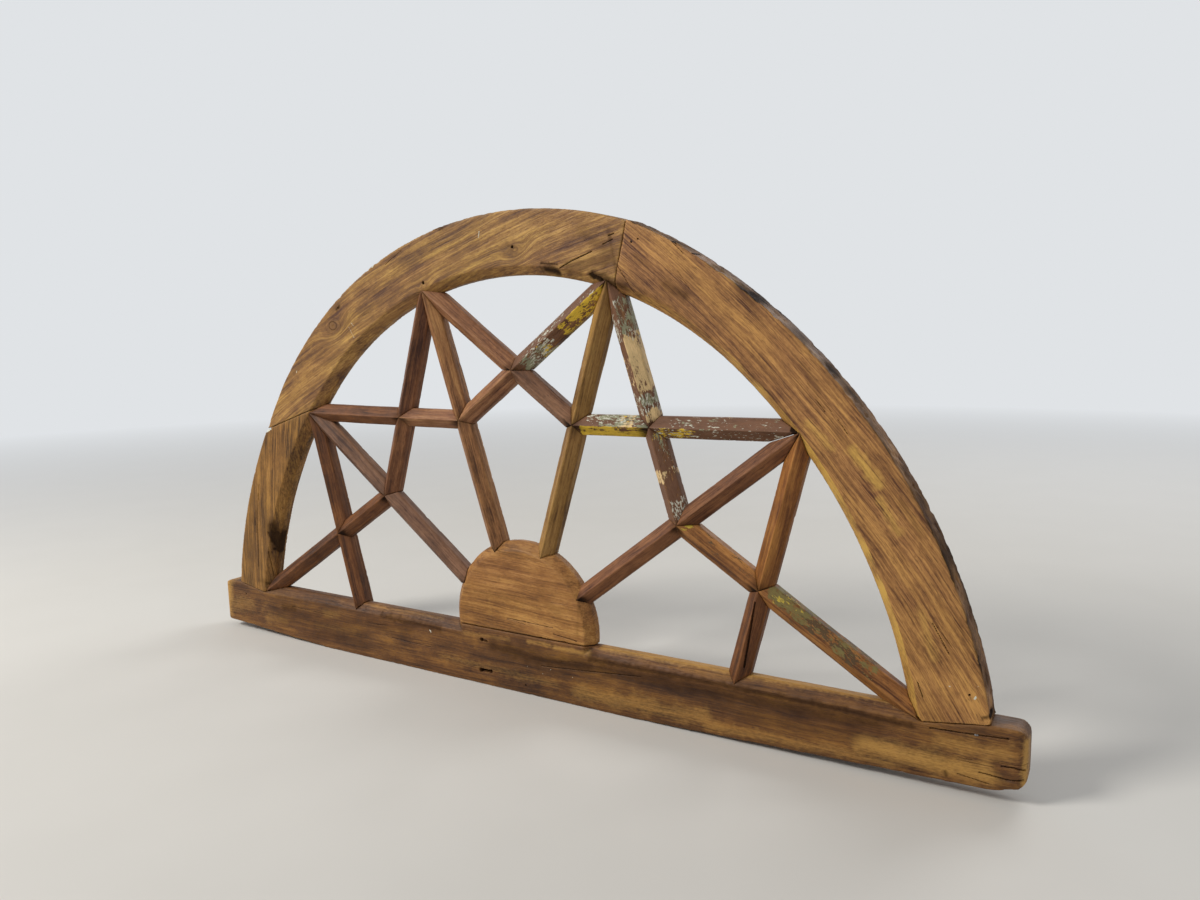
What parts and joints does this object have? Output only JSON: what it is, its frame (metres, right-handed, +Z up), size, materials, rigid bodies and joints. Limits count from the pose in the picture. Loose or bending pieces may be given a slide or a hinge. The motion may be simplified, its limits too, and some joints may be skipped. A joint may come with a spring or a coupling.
{
  "type": "sunburst fanlight",
  "caption": "Half-round teak fanlight: jointed arch on a horned sill, half-round hub and a sunburst star lattice of mitred, ridged glazing bars; unglazed, worn, with old paint.",
  "frame": {"origin": "middle of the sill's underside, at mid thickness", "axes": "+X along the sill to the right as seen from the front, +Y from the moulded front to the rebated back, +Z up towards the crown"},
  "size_m": [1.318, 0.038, 0.677],
  "materials": {
    "sill_wood": "worn teak, waxed, with cracks, nail holes and dark stains",
    "arch_wood": "worn teak, waxed, streaked honey to dark brown",
    "hub_wood": "worn teak, waxed, orange-brown with fine cracks",
    "bar_wood": "red-brown teak, waxed, worn ridges",
    "painted_bar_wood": "red-brown teak with remnants of maroon, yellow, cream and grey-green paint"
  },
  "bodies": {
    "root": {"sill": "sill_wood", "hub": "hub_wood", "arch_left": "arch_wood", "arch_crown": "arch_wood", "arch_right": "arch_wood", "bay_1_upper_left": "bar_wood", "bay_1_lower_left": "bar_wood", "bay_1_upper_right": "bar_wood", "bay_1_lower_right": "bar_wood", "bay_2_upper_left": "bar_wood", "bay_2_lower_left": "bar_wood", "bay_2_upper_right": "bar_wood", "bay_2_lower_right": "bar_wood", "bay_3_upper_left": "bar_wood", "bay_3_lower_left": "bar_wood", "bay_3_upper_right": "painted_bar_wood", "bay_3_lower_right": "bar_wood", "bay_4_upper_left": "painted_bar_wood", "bay_4_lower_left": "painted_bar_wood", "bay_4_upper_right": "painted_bar_wood", "bay_4_lower_right": "painted_bar_wood", "bay_5_upper_left": "bar_wood", "bay_5_lower_left": "painted_bar_wood", "bay_5_upper_right": "painted_bar_wood", "bay_5_lower_right": "bar_wood", "ray_outer_1": "bar_wood", "ray_inner_1": "bar_wood", "ray_outer_2": "bar_wood", "ray_inner_2": "bar_wood", "ray_outer_3": "bar_wood", "ray_inner_3": "bar_wood", "ray_outer_4": "bar_wood", "ray_inner_4": "bar_wood"}
  },
  "joints": []
}
